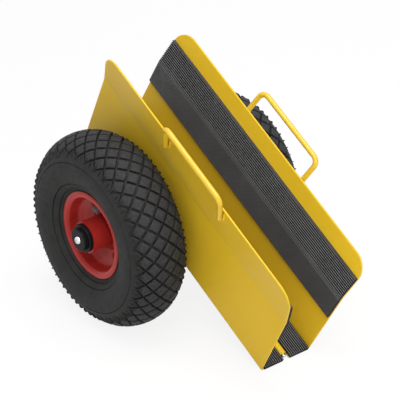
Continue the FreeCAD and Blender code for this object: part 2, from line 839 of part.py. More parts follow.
def spring_lugs(side):
    """Small eyes under a flange that hold the springs' legs: left legs in front, right legs behind."""
    name = f"{SIDE_NAMES[side]}_spring_lugs"
    lugs = []
    for place, start in spring_places().items():
        leg = start if side == LEFT else start + spring_length
        lug_x = (s.lug_start, s.lug_start + s.lug_length)
        lug_y = (leg - s.lug_width / 2, leg + s.lug_width / 2)
        lug_z = (leg_height - s.wire_diameter / 2 - s.lug_wall, bed_underside)
        lug = block(f"{name}_{place}_block", lug_x, lug_y, lug_z, side)
        eye = cylinder_x(f"{name}_{place}_eye", s.wire_diameter + s.running_clearance * 4, *lug_x, side)
        bind(eye, Placement__Base__y=leg, Placement__Base__z=leg_height)
        lugs.append(cut(f"{name}_{place}", lug, eye))
    return finish(group(name, lugs), name)


def biarc(start, start_way, end, end_way):
    """Two arcs that leave a point one way and reach another point the other way."""
    chord = end - start
    both = start_way + end_way
    spread = 2 * (1 - start_way.dot(end_way))
    reach = (math.sqrt(chord.dot(both) ** 2 + spread * chord.dot(chord)) - chord.dot(both)) / spread
    first_tip = start + start_way * reach
    last_tip = end - end_way * reach
    joint = (first_tip + last_tip) * 0.5
    return [arc_under(start, first_tip, joint), arc_under(joint, last_tip, end)]


def arc_under(start, tip, end):
    """The arc from start to end whose end tangents meet at a tip."""
    middle = (start + end) * 0.5
    half_chord = (end - start).Length / 2
    height = (tip - middle).Length
    side_length = math.hypot(half_chord, height)
    rise = half_chord * (side_length - half_chord) / height
    return Part.Arc(start, middle + (tip - middle).normalize() * rise, end)


def return_spring(place, start):
    """A torsion spring on the pin: a straight leg to the left, the turns, a straight leg to the right."""
    radius = s.spring_diameter.number / 2
    wire = s.wire_diameter.number
    axis_z = s.hinge_height.number
    leg = s.spring_leg.number
    rise = math.atan2(s.spring_pitch.number, 2 * math.pi * radius)
    quarters = SPRING_TURNS * 4
    points = []
    ways = []
    for quarter in range(quarters + 1):
        angle = quarter * math.pi / 2 - math.pi / 2
        along = start.number + s.spring_pitch.number * quarter / 4
        points.append(FreeCAD.Vector(radius * math.cos(angle), along, axis_z + radius * math.sin(angle)))
        flat = FreeCAD.Vector(-math.sin(angle), 0, math.cos(angle))
        slope = 0 if quarter in (0, quarters) else rise
        ways.append(flat * math.cos(slope) + Y_AXIS * math.sin(slope))
    curves = [Part.LineSegment(points[0] - X_AXIS * leg, points[0])]
    for quarter in range(quarters):
        curves += biarc(points[quarter], ways[quarter], points[quarter + 1], ways[quarter + 1])
    curves.append(Part.LineSegment(points[-1], points[-1] + X_AXIS * leg))
    path = Part.Wire([curve.toShape() for curve in curves])
    section = Part.Wire(Part.Circle(points[0] - X_AXIS * leg, X_AXIS, wire / 2).toShape())
    shell = Part.BRepOffsetAPI.MakePipeShell(path)
    shell.add(section)
    shell.build()
    shell.makeSolid()
    print(f"{place} return spring: least gap to itself {self_gap(path, wire):.2f} mm")
    spring = doc.addObject("Part::Feature", f"{place}_return_spring")
    spring.Shape = shell.shape()
    return finish(spring, f"{place}_return_spring")


def self_gap(path, wire):
    """The least clear distance between stretches of a wire that are over three diameters apart."""
    step = wire / 2
    samples = path.discretize(Distance=step)
    apart = int(3 * wire / step)
    nearest = min(
        samples[first].distanceToPoint(samples[second])
        for first in range(len(samples))
        for second in range(first + apart, len(samples))
    )
    return nearest - wire


# Axles, bearings and caps


def axle(side):
    """A square bar under the flange with a collar and a turned spindle for the wheel."""
    name = f"{SIDE_NAMES[side]}_axle"
    half = s.axle_bar / 2
    bar_end = hub_inner_end - s.axle_collar_length
    bar = block(f"{name}_bar", (s.axle_inner_end, bar_end), (-half, half), (-half, half), side)
    collar = cylinder_x(f"{name}_collar", s.axle_collar_diameter, bar_end, hub_inner_end, side)
    spindle = cylinder_x(f"{name}_spindle", s.bearing_bore, bar_end, spindle_end, side)
    hole_start = cap_face - s.screw_length - s.washer_thickness
    hole_diameter = s.screw_diameter + s.running_clearance * 2
    hole = cylinder_x(f"{name}_hole", hole_diameter, hole_start, spindle_end, side)
    return finish(cut(name, fused(f"{name}_blank", [bar, collar, spindle]), hole), name)


def sleeve(name, outside, inside, start, end, side):
    outer = cylinder_x(f"{name}_outside", outside, start, end, side)
    return cut(name, outer, cylinder_x(f"{name}_inside", inside, start, end, side))


def bearing_spacer(side):
    """The sleeve that keeps the two bearings' inner rings apart."""
    name = f"{SIDE_NAMES[side]}_bearing_spacer"
    start = hub_inner_end + s.bearing_width
    end = hub_outer_end - s.bearing_width
    bore = s.bearing_bore + s.running_clearance * 2
    return finish(sleeve(name, s.spacer_diameter, bore, start, end, side), name)


def bearing_starts():
    return [hub_inner_end, hub_outer_end - s.bearing_width]


ball_pitch = (s.bearing_inner_shoulder + s.bearing_outer_shoulder) / 2


def bearing_rings(side, kind, outside, inside):
    """The inner or the outer rings of a wheel's two ball bearings, each with its ball groove."""
    name = f"{SIDE_NAMES[side]}_bearing_{kind}_rings"
    rings = []
    for index, start in enumerate(bearing_starts()):
        tag = f"{name}_{index}"
        ring = sleeve(f"{tag}_blank", outside, inside, start, start + s.bearing_width, side)
        groove = doc.addObject("Part::Torus", f"{tag}_groove")
        groove.Placement = FreeCAD.Placement(FreeCAD.Vector(), FreeCAD.Rotation(Y_AXIS, QUARTER_TURN))
        bind(groove, Radius1=ball_pitch / 2, Radius2=s.ball_diameter / 2 + s.running_clearance)
        bind(groove, Placement__Base__x=side * (start + s.bearing_width / 2))
        rings.append(cut(tag, ring, groove))
    return finish(group(name, rings), name)


def bearing_balls(side):
    name = f"{SIDE_NAMES[side]}_bearing_balls"
    balls = []
    for row, start in enumerate(bearing_starts()):
        for index in range(BALLS):
            angle = 2 * math.pi * index / BALLS
            ball = doc.addObject("Part::Sphere", f"{name}_{row}_{index}")
            bind(ball, Radius=s.ball_diameter / 2)
            bind(ball, Placement__Base__x=side * (start + s.bearing_width / 2))
            bind(ball, Placement__Base__y=ball_pitch / 2 * math.cos(angle))
            bind(ball, Placement__Base__z=ball_pitch / 2 * math.sin(angle))
            balls.append(ball)
    return finish(group(name, balls), name)


def axle_washer(side):
    name = f"{SIDE_NAMES[side]}_axle_washer"
    hole = s.screw_diameter + s.running_clearance * 2
    return finish(sleeve(name, s.washer_diameter, hole, hub_outer_end, washer_face, side), name)


def hub_cap(side):
    """A stepped cap over the axle end, seated on the washer."""
    name = f"{SIDE_NAMES[side]}_hub_cap"
    base = s.cap_base_diameter / 2
    front = s.cap_front_diameter / 2
    hole = s.screw_diameter / 2 + s.running_clearance
    recess = s.washer_diameter / 2 + s.running_clearance * 4
    step = cap_back + s.cap_base_height
    edge = s.cap_edge
    profile = [
        (cap_back, recess),
        (cap_back, base),
        (step - edge, base, QUARTER_TURN),
        (step, base - edge),
        (step, front),
        (cap_face - edge, front, QUARTER_TURN),
        (cap_face, front - edge),
        (cap_face, hole),
        (washer_face, hole),
        (washer_face, recess),
    ]
    clockwise = [point[:2] + tuple(-angle for angle in point[2:]) for point in profile]
    return finish(turned(name, sided(clockwise, side)), name)


def axle_screw(side):
    """A button-head screw with a hexagon socket, through the cap and washer into the spindle."""
    name = f"{SIDE_NAMES[side]}_axle_screw"
    shank = s.screw_diameter / 2
    head = s.screw_head_diameter / 2
    crown = head / 2
    end = cap_face - s.screw_length
    profile = [
        (end, 0),
        (end, shank),
        (cap_face, shank),
        (cap_face, head, -s.screw_head_turn),
        (cap_face + s.screw_head_height, crown),
        (cap_face + s.screw_head_height, 0),
    ]
    blank = turned(f"{name}_blank", sided(profile, side))
    socket = doc.addObject("Part::Prism", f"{name}_socket")
    socket.Polygon = 6
    socket.Placement = FreeCAD.Placement(FreeCAD.Vector(), FreeCAD.Rotation(Y_AXIS, side * QUARTER_TURN))
    bind(socket, Circumradius=s.screw_socket / math.sqrt(3), Height=s.screw_head_height)
    bind(socket, Placement__Base__x=side * (cap_face + s.screw_head_height - s.screw_socket_depth))
    return finish(cut(name, blank, socket), name)


# Wheels

side_x = s.tyre_width / 2
side_r = s.tyre_widest_radius
seat_r = s.bead_seat_diameter / 2
bead_r = seat_r + s.bead_clearance
lip_r = s.rim_lip_diameter / 2
lip_inside = s.rim_half_width - s.rim_sheet
seat_end = lip_inside - s.rim_bend
bead_out = lip_inside - s.bead_clearance
bead_in = bead_out - s.bead_width
neck_r = s.rim_neck_diameter / 2
hub_r = s.hub_diameter / 2


def arch(foot_x, foot_r, side_reach, crown_x, crown_r):
    """A whole arch, from one foot over the crown to the other foot."""
    return [
        (foot_x, foot_r, s.sidewall_turn),
        (side_reach, side_r, s.shoulder_turn),
        (crown_x, crown_r, s.crown_turn),
        (-crown_x, crown_r, s.shoulder_turn),
        (-side_reach, side_r, s.sidewall_turn),
        (-foot_x, foot_r),
    ]


def backwards(points):
    """The same outline, run through from its end to its start."""
    turns = [point[2:] for point in points]
    order = list(reversed(points))
    result = []
    for index, point in enumerate(order):
        turn = turns[len(points) - 2 - index] if index < len(points) - 1 else ()
        result.append(point[:2] + tuple(-angle for angle in turn))
    return result


def cavity_arch(depth):
    """The tyre's inside, narrowed by a depth."""
    return arch(
        bead_in - depth,
        lip_r,
        side_x - s.tyre_wall - depth,
        s.crown_half_width - s.tyre_wall / 2 - depth / 2,
        s.crown_edge_radius - s.tread_thickness - depth,
    )


def tread_band(name, side):
    """A ring round the tyre, down to the floor of the tread's grooves."""
    top = wheel_radius + s.tread_groove_depth
    floor = s.crown_edge_radius - s.tread_groove_depth
    shoulder = s.tread_edge_turn - s.shoulder_turn
    profile = [
        (s.tread_edge, s.tread_edge_radius),
        (s.tread_edge, top),
        (-s.tread_edge, top),
        (-s.tread_edge, s.tread_edge_radius, shoulder),
        (-s.crown_half_width, floor, -s.crown_turn),
        (s.crown_half_width, floor, shoulder),
    ]
    return turned(name, sided(profile, side, side * s.wheel_centre))


def tread_grooves(name, side, lean):
    """The tread's main grooves one way: slabs across it at a lean, evenly round the wheel."""
    along = (-wheel_radius / 2, wheel_radius / 2)
    across = (-s.tread_groove_width / 2, s.tread_groove_width / 2)
    slab = block(f"{name}_slab", along, across, (side_r, wheel_radius + s.tread_groove_depth))
    leaning = group(f"{name}_leaning", [slab])
    leaning.Placement = FreeCAD.Placement(FreeCAD.Vector(), FreeCAD.Rotation(Z_AXIS, 1))
    bind(leaning, Placement__Base__x=side * s.wheel_centre, Placement__Rotation__Angle=lean)
    slabs = []
    for index in range(TREAD_GROOVES):
        slabs.append(group(f"{name}_slab_{index}", [leaning]))
        round_wheel = FreeCAD.Rotation(X_AXIS, FULL_TURN * index / TREAD_GROOVES)
        slabs[-1].Placement = FreeCAD.Placement(FreeCAD.Vector(), round_wheel)
    grooves_one_way = doc.addObject("Part::Common", name)
    grooves_one_way.Base = tread_band(f"{name}_band", side)
    grooves_one_way.Tool = group(f"{name}_slabs", slabs)
    return grooves_one_way


def tyre(side):
    """A tyre with crossing grooves in its tread, on two beads that sit in the rim."""
    name = f"{SIDE_NAMES[side]}_tyre"
    outside = arch(bead_out, lip_r + s.rim_sheet / 2, side_x, s.crown_half_width, s.crown_edge_radius)
    profile = [(bead_in, bead_r), (seat_end, bead_r, QUARTER_TURN), (bead_out, seat_r + s.rim_bend)]
    profile += outside
    profile += [(-bead_out, seat_r + s.rim_bend, QUARTER_TURN), (-seat_end, bead_r), (-bead_in, bead_r)]
    profile += backwards(cavity_arch(0))
    blank = turned(f"{name}_blank", sided(profile, side, side * s.wheel_centre))
    grooved = cut(f"{name}_grooved", blank, tread_grooves(f"{name}_grooves", side, s.tread_groove_lean))
    cross_grooves = tread_grooves(f"{name}_cross_grooves", side, -s.tread_groove_lean)
    return finish(cut(name, grooved, cross_grooves), name)


def inner_tube(side):
    """The hollow tube that fills the tyre over the rim."""
    name = f"{SIDE_NAMES[side]}_inner_tube"
    loops = []
    for depth in (s.tube_clearance, s.tube_clearance + s.tube_wall):
        floor = bead_r + depth
        foot = bead_in - depth
        loop = [(foot, floor)] + cavity_arch(depth) + [(-foot, floor)]
        loops.append(sided(loop, side, side * s.wheel_centre))
    return finish(turned(name, *loops), name)


def rim_half(name, side, facing):
    """A pressed dish from the hub tube to the bead seat, with a lip that holds the tyre's bead."""
    sheet = s.rim_sheet
    bend = s.rim_bend
    tip = sheet / 2
    profile = [
        (0, hub_r),
        (0, neck_r, s.dish_turn),
        (s.rim_well_half_width, seat_r),
        (seat_end, seat_r, QUARTER_TURN),
        (lip_inside, seat_r + bend),
        (lip_inside, lip_r - tip, -QUARTER_TURN),
        (lip_inside + tip, lip_r, -QUARTER_TURN),
        (s.rim_half_width, lip_r - tip),
        (s.rim_half_width, seat_r + bend, -QUARTER_TURN),
        (seat_end, seat_r - sheet),
        (s.rim_well_half_width + sheet / 2, seat_r - sheet, -s.dish_turn),
        (sheet, neck_r - sheet / 4),
        (sheet, hub_r),
    ]
    return turned(name, sided(profile, side * facing, side * s.wheel_centre))


def along_valve(name, diameter, start, end, side):
    """A cylinder along the valve's slanting outer leg, between distances from its elbow."""
    leg = doc.addObject("Part::Cylinder", name)
    leg.Placement = FreeCAD.Placement(FreeCAD.Vector(), FreeCAD.Rotation(Y_AXIS, 1))
    bind(leg, Radius=as_size(diameter) / 2, Height=as_size(end) - start)
    bind(leg, Placement__Rotation__Angle=side * (s.valve_slant + QUARTER_TURN))
    out = sine(QUARTER_TURN - s.valve_slant) * start
    down = sine(s.valve_slant) * start
    bind(leg, Placement__Base__x=side * (s.wheel_centre + out))
    return bind(leg, Placement__Base__z=s.valve_elbow_radius - down)


def outer_rim(side):
    name = f"{SIDE_NAMES[side]}_outer_rim"
    blank = rim_half(f"{name}_blank", side, OUTER)
    hole_diameter = s.valve_diameter + s.valve_hole_clearance * 2
    hole = along_valve(f"{name}_valve_hole", hole_diameter, as_size(0), s.valve_reach, side)
    return finish(cut(name, blank, hole), name, s.valve_angle)


def inner_rim(side):
    name = f"{SIDE_NAMES[side]}_inner_rim"
    return finish(rim_half(name, side, INNER), name)


def hub_tube(side):
    name = f"{SIDE_NAMES[side]}_hub_tube"
    tube = sleeve(name, s.hub_diameter, s.bearing_diameter, hub_inner_end, hub_outer_end, side)
    return finish(tube, name)


def valve_stem(side):
    """The tube's bent valve stem, from the tube down into the rim well and out through the dish."""
    name = f"{SIDE_NAMES[side]}_valve_stem"
    root = doc.addObject("Part::Cylinder", f"{name}_root")
    top = height_within(bead_r + s.tube_clearance, s.valve_diameter / 2)
    bind(root, Radius=s.valve_diameter / 2, Height=top - s.valve_elbow_radius)
    bind(root, Placement__Base__x=side * s.wheel_centre, Placement__Base__z=s.valve_elbow_radius)
    elbow = doc.addObject("Part::Sphere", f"{name}_elbow")
    bind(elbow, Radius=s.valve_diameter / 2)
    bind(elbow, Placement__Base__x=side * s.wheel_centre, Placement__Base__z=s.valve_elbow_radius)
    leg = along_valve(f"{name}_leg", s.valve_diameter, as_size(0), s.valve_reach, side)
    return finish(fused(name, [root, elbow, leg]), name, s.valve_angle)


def valve_cap(side):
    """A screw cap over the end of the valve stem."""
    name = f"{SIDE_NAMES[side]}_valve_cap"
    start = s.valve_reach - s.valve_cap_cover
    outside = along_valve(f"{name}_outside", s.valve_cap_diameter, start, start + s.valve_cap_length, side)
    hollow_diameter = s.valve_diameter + s.running_clearance * 2
    hollow = along_valve(f"{name}_hollow", hollow_diameter, start, s.valve_reach, side)
    return finish(cut(name, outside, hollow), name, s.valve_angle)


def half(side):
    """One half of the dolly with its axle, and the wheel on it."""
    side_plate(side)
    grip_pad(side)
    base_pad(side)
    handle(side)
    hinge_knuckles(side)
    spring_lugs(side)
    axle(side)
    bearing_spacer(side)
    bearing_rings(side, "inner", s.bearing_inner_shoulder, s.bearing_bore + s.running_clearance * 2)
    axle_washer(side)
    hub_cap(side)
    axle_screw(side)
    tyre(side)
    inner_tube(side)
    outer_rim(side)
    inner_rim(side)
    hub_tube(side)
    bearing_rings(side, "outer", s.bearing_diameter, s.bearing_outer_shoulder)
    bearing_balls(side)
    valve_stem(side)
    valve_cap(side)


def hinge():
    hinge_pin()
    hinge_pin_clips()
    stop_saddles()
    for place, start in spring_places().items():
        return_spring(place, start)


def check():
    """Stop if any object failed or any sub-part is not a valid solid."""
    for thing in doc.Objects:
        if "Invalid" in thing.State or "Error" in thing.State:
            raise RuntimeError(f"{thing.Name} failed: {thing.State}")
    for thing in SUBPARTS:
        if thing.Shape.isNull() or not thing.Shape.isValid() or not thing.Shape.Solids:
            raise RuntimeError(f"{thing.Label} is not a valid solid")


half(LEFT)
half(RIGHT)
hinge()
doc.recompute()
check()
os.makedirs("parts", exist_ok=True)
for subpart in SUBPARTS:
    subpart.Shape.exportStep(f"parts/{subpart.Label}.step")
print(f"{len(SUBPARTS)} sub-parts, tilt {s.tilt.number:.3f} degrees")
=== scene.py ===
"""The panel dolly's looks: materials on its solids, and finer tyres, rims, pads, springs and welds."""
import json
import math

import bmesh
import bpy
from mathutils import Matrix, Quaternion, Vector

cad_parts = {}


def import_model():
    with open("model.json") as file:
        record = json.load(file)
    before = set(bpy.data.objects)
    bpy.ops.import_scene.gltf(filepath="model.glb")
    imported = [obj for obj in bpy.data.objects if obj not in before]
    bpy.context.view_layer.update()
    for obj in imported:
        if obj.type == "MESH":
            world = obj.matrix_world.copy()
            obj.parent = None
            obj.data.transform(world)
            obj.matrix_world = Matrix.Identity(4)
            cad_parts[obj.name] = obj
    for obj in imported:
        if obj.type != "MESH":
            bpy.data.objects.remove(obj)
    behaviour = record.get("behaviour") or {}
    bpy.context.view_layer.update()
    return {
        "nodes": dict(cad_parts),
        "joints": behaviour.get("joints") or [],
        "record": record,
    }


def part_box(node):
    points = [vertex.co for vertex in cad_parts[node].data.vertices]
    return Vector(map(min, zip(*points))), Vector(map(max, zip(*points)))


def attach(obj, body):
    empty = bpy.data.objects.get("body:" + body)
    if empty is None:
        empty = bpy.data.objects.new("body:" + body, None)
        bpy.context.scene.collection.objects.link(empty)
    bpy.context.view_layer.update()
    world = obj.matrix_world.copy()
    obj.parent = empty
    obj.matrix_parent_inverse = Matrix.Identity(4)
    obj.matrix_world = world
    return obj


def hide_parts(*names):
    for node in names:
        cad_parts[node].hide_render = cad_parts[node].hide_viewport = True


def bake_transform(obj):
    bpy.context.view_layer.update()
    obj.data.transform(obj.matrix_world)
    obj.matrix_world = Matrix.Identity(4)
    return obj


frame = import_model()

MM = 0.001
X, Y, Z = range(3)
SIDES = {"left": -1, "right": 1}
joints = {joint["name"]: joint for joint in frame["joints"]}
slots = {subpart["node"]: subpart["material_slot"] for subpart in frame["record"]["subparts"]}

# The level frame: X along the axles, Y to the rear, Z up off the bed, with its origin on the axle line
wheel_place = Vector(joints["right_wheel_spin"]["pos_m"])
hinge_place = Vector(joints["clamp_hinge"]["pos_m"])
hinge_way = Vector(joints["clamp_hinge"]["axis"])
tilt = math.atan2(-hinge_way.z, -hinge_way.y)
standing = Matrix.Translation((0, wheel_place.y, wheel_place.z)) @ Matrix.Rotation(tilt, 4, "X")
levelling = standing.inverted()

# Camera, as the photograph was taken
CAMERA_AZIMUTH = math.radians(-37.62)
CAMERA_ELEVATION = math.radians(27.07)
CAMERA_ROLL = math.radians(-2.34)
CAMERA_DISTANCE = 2.628
CAMERA_LENS = 187.6
CAMERA_SENSOR = 36
CAMERA_AIM = Vector((-0.0101, 0.0066, 0.1722))

# Studio: each lamp's name, place, diameter and power
LAMPS = (
    ("key", (-1.6, -1.9, 2.4), 1.6, 14),
    ("front", (-0.9, -2.3, 0.7), 0.8, 14),
    ("sparkle", (-1.5, -1.7, 2.5), 0.12, 12),
    ("top", (-0.1, -0.6, 2.6), 1.8, 54),
    ("back", (1.8, 1.6, 1.6), 1.4, 8),
)
LAMP_AIM = Vector((0, 0, 0.15))
WORLD_LIGHT = 0.46
FLOOR_REACH = 6
FLOOR_GREY = 0.8
FLOOR_ROUGHNESS = 0.9
FLOOR_WHITE_SHARE = 0.86

# Tyre section, as in the solid: radii, half widths from the wheel's middle and turns of its arcs
TYRE_WIDEST_RADIUS = 92 * MM
TYRE_CROWN_HALF_WIDTH = 16 * MM
TYRE_CROWN_TURN = math.radians(34)
TYRE_SHOULDER_TURN = math.radians(73)
TYRE_SIDEWALL_TURN = math.radians(50)
TYRE_FOOT_HALF_WIDTH = 27.45 * MM
TYRE_FOOT_RADIUS = 59.7 * MM
TYRE_BEAD_RADIUS = 51.05 * MM
TYRE_BEAD_WIDTH = 7 * MM
TYRE_WALL = 6 * MM

# Steps along that section and round the wheel, and how far out the tyre's inside follows its outer line
CROWN_STEPS = 30
SHOULDER_STEPS = 90
SIDEWALL_STEPS = 60
CARCASS_STEPS = 220
CARCASS_STEPS_PER_BLOCK = 4
INSIDE_STEPS = 40
INSIDE_SHARE = 0.9

# Tread: diamond blocks in staggered columns, between crossing grooves
BLOCKS_AROUND = 36
BLOCK_COLUMNS = 9
GROOVE_WIDTH = 2.6 * MM
GROOVE_DEPTH = 4.6 * MM
GROOVE_FADE_START = 33 * MM
GROOVE_FADE_END = 52 * MM
BLOCK_BEVEL = 0.4 * MM
BLOCK_BEVEL_WIDTH = 0.56 * MM
BLOCK_LEAN = 0.3 * MM
BLOCK_SINK = 0.5 * MM

# Fins on the tyre's shoulders, as heights at reaches from the crown, and lines round its sidewalls
SHOULDER_FINS = 72
FIN_HALF_WIDTH = 0.8 * MM
FIN_TOP_SHARE = 1 / 3
FIN_CORNERS = 4
FIN_HEIGHTS = (
    (36 * MM, -0.4 * MM),
    (39 * MM, 1.5 * MM),
    (42 * MM, 1.8 * MM),
    (45 * MM, 1.2 * MM),
    (49 * MM, -0.4 * MM),
)
SIDEWALL_LINES = (55 * MM, 86 * MM, 95 * MM)
SIDEWALL_LINE_DEPTH = 1.4 * MM
SIDEWALL_LINE_HALF_WIDTH = 0.9 * MM

# Rim's outer half: reaches from the wheel's middle and radii as in the solid, but rounder at its bends
RIM_SHEET = 2 * MM
RIM_HUB_RADIUS = 21 * MM
RIM_NECK_RADIUS = 30.5 * MM
RIM_NECK_BEND = 8 * MM
RIM_DISH_REACH = 7.9 * MM
RIM_DISH_RADIUS = 39 * MM
RIM_DISH_BEND = 25 * MM
RIM_WELL_REACH = 11 * MM
RIM_WELL_BEND = 7 * MM
RIM_SEAT_RADIUS = 48.8 * MM
RIM_SEAT_BEND = 2 * MM
RIM_LIP_REACH = 29.7 * MM
RIM_LIP_MIDDLE = 55 * MM
RIM_LIP_RADIUS = 58.7 * MM
RIM_LIP_CROWN = 0.6 * MM
RIM_LIP_BEND = 5 * MM
RIM_CROWN_BEND = 10 * MM
RIM_EDGE_BEND = 0.6 * MM
RIM_STEPS = 180
BEND_STEPS = 10

# Ribs of the rubber pads, and the band under the grip pad's fold whose crests are painted pale, a painted
# highlight along the bend
RIB_PITCH = 3 * MM
RIB_DEPTH = 2.6 * MM
SHALLOW_RIB_DEPTH = 0.6 * MM
RIB_GROOVE = 1.5 * MM
RIB_STEPS = 12
RIB_SQUARENESS = 4
RIB_CREST_SHARE = 0.8
FOLD_HIGHLIGHT_WIDTH = 6 * MM
PAD_OVERHANG = 2 * MM
PAD_END_BEVEL = 0.5 * MM
PAD_END_INSET = 0.4 * MM
# The pads' rubbers: the plain body, pale crests that are a painted highlight, and near-black painted shade
# in grooves and on ends
PAD_TONES = ("pad_rubber", "crest_highlight_rubber", "painted_shade_rubber")
BODY_TONE, CREST_TONE, SHADE_TONE = range(3)

# Return springs, as in the solids
SPRING_TURNS = 8
SPRING_PITCH = 2.5 * MM
SPRING_RADIUS = 4.2 * MM
SPRING_WIRE = 1.8 * MM
SPRING_LEG = 30 * MM
SPRING_STEPS_PER_TURN = 28
SPRING_LEG_STEPS = 11

# Weld beads: rippled, and thinner at their ends
WELD_RIPPLE = 0.25
WELD_RIPPLE_PITCH = 2.4 * MM
WELD_RIPPLE_STEPS = 6
WELD_FEWEST_STEPS = 2
WELD_END_SHARE = 0.35
WELD_END_STEPS = 6

# Beads round the feet of the handles, reaching across and below them by shares of the rod's diameter
HANDLE_ROD = 7 * MM
HANDLE_WELD_RADIUS = 1.7 * MM
HANDLE_WELD_LEG = 14 * MM
HANDLE_WELD_LIFT = 1 * MM
HANDLE_WELD_ACROSS = 0.5
HANDLE_WELD_BELOW = 0.35
HANDLE_WELD_STEPS = 12

# Beads along the axle bars
AXLE_BAR_REACH = 30 * MM
AXLE_WELD_RADIUS = 2.2 * MM
AXLE_WELD_INSET = 2 * MM
AXLE_WELD_END = 36 * MM
AXLE_WELD_STEPS = 8

# Mesh detail
SHARP_EDGE = math.radians(40)
TUBE_SIDES = 12

# Materials: noise scales are per metre, and grain depths are real depths
NOISE_LOW, NOISE_HIGH = 0.25, 0.75
TONE_DETAIL = 4
STREAK_DETAIL = 6
STREAK_SCALE = 3
GRAIN_DETAIL = 3
PLAIN_SPECULAR = 0.5
YELLOW_TONES = ((0.67, 0.43, 0.018), (0.71, 0.46, 0.024))
LOOKS = {
    "yellow_paint": dict(
        tones=YELLOW_TONES, tone_scale=9, roughness=(0.36, 0.46),
        grain_scale=700, grain_depth=0.015 * MM, specular=0.12,
    ),
    "rod_paint": dict(
        tones=YELLOW_TONES, tone_scale=9, roughness=(0.20, 0.28),
        grain_scale=700, grain_depth=0.015 * MM,
    ),
    "red_paint": dict(
        tones=((0.33, 0.020, 0.016), (0.38, 0.026, 0.021)), tone_scale=14, roughness=(0.08, 0.13),
        grain_scale=650, grain_depth=0.006 * MM, specular=0.18,
    ),
    "pad_rubber": dict(
        tones=((0.040, 0.040, 0.042), (0.056, 0.056, 0.058)), tone_scale=30, roughness=(0.42, 0.56),
        grain_scale=1800, grain_depth=0.05 * MM, specular=0.3,
    ),
    # Pale rubber on rib crests, and on the crests along the grip pad's fold: a painted highlight
    "crest_highlight_rubber": dict(
        tones=((0.115, 0.116, 0.118), (0.165, 0.166, 0.168)), tone_scale=45, roughness=(0.50, 0.65),
        grain_scale=1800, grain_depth=0.05 * MM, specular=0.3,
    ),
    # Near-black rubber in the ribs' grooves and on the pads' ends: painted shade
    "painted_shade_rubber": dict(
        tones=((0.009, 0.009, 0.009), (0.014, 0.014, 0.014)), tone_scale=30, roughness=(0.60, 0.75),
        grain_scale=1800, grain_depth=0.05 * MM, specular=0.15,
    ),
    "tyre_rubber": dict(
        tones=((0.015, 0.015, 0.015), (0.023, 0.023, 0.022)), tone_scale=60, roughness=(0.55, 0.75),
        grain_scale=1300, grain_depth=0.15 * MM, specular=0.2,
    ),
    # Lighter than the sidewall's rubber: a random mottle, and partly painted light falling on the tread
    # from above
    "tread_rubber": dict(
        tones=((0.015, 0.015, 0.016), (0.038, 0.038, 0.040)), tone_scale=320, roughness=(0.60, 0.80),
        grain_scale=1300, grain_depth=0.25 * MM, specular=0.2,
    ),
    "tube_rubber": dict(
        tones=((0.022, 0.022, 0.023), (0.030, 0.030, 0.031)), tone_scale=40, roughness=(0.45, 0.60),
        grain_scale=1500, grain_depth=0.03 * MM,
    ),
    "black_plastic": dict(
        tones=((0.006, 0.006, 0.007), (0.009, 0.009, 0.010)), tone_scale=40, roughness=(0.12, 0.20),
        grain_scale=1600, grain_depth=0.01 * MM, specular=0.08,
    ),
    "grey_plastic": dict(
        tones=((0.10, 0.085, 0.095), (0.14, 0.12, 0.13)), tone_scale=60, roughness=(0.40, 0.50),
        grain_scale=1600, grain_depth=0.02 * MM, specular=0.2,
    ),
    "zinc_steel": dict(
        tones=((0.50, 0.51, 0.52), (0.60, 0.60, 0.59)), tone_scale=60, roughness=(0.30, 0.45),
        grain_scale=1200, grain_depth=0.03 * MM, metallic=1,
    ),
    "bright_steel": dict(
        tones=((0.72, 0.72, 0.72), (0.80, 0.80, 0.80)), tone_scale=60, roughness=(0.14, 0.24),
        grain_scale=1500, grain_depth=0.02 * MM, metallic=1,
    ),
    "spring_steel": dict(
        tones=((0.24, 0.24, 0.25), (0.32, 0.32, 0.32)), tone_scale=80, roughness=(0.28, 0.40),
        grain_scale=1500, grain_depth=0.02 * MM, metallic=1,
    ),
}

# Looks of a piece on each side that differ from its record slot's
OWN_LOOKS = {"handle": "rod_paint", "valve_cap": "grey_plastic"}


def noise(nodes, links, coordinates, scale, detail):
    """A noise through the object's own space."""
    texture = nodes.new("ShaderNodeTexNoise")
    texture.inputs["Scale"].default_value = scale
    texture.inputs["Detail"].default_value = detail
    links.new(coordinates.outputs["Object"], texture.inputs["Vector"])
    return texture.outputs["Fac"]


def spread(nodes, links, factor, low, high):
    """Map the middle half of a noise to a range."""
    mapping = nodes.new("ShaderNodeMapRange")
    mapping.inputs["From Min"].default_value = NOISE_LOW
    mapping.inputs["From Max"].default_value = NOISE_HIGH
    mapping.inputs["To Min"].default_value = low
    mapping.inputs["To Max"].default_value = high
    links.new(factor, mapping.inputs["Value"])
    return mapping.outputs["Result"]


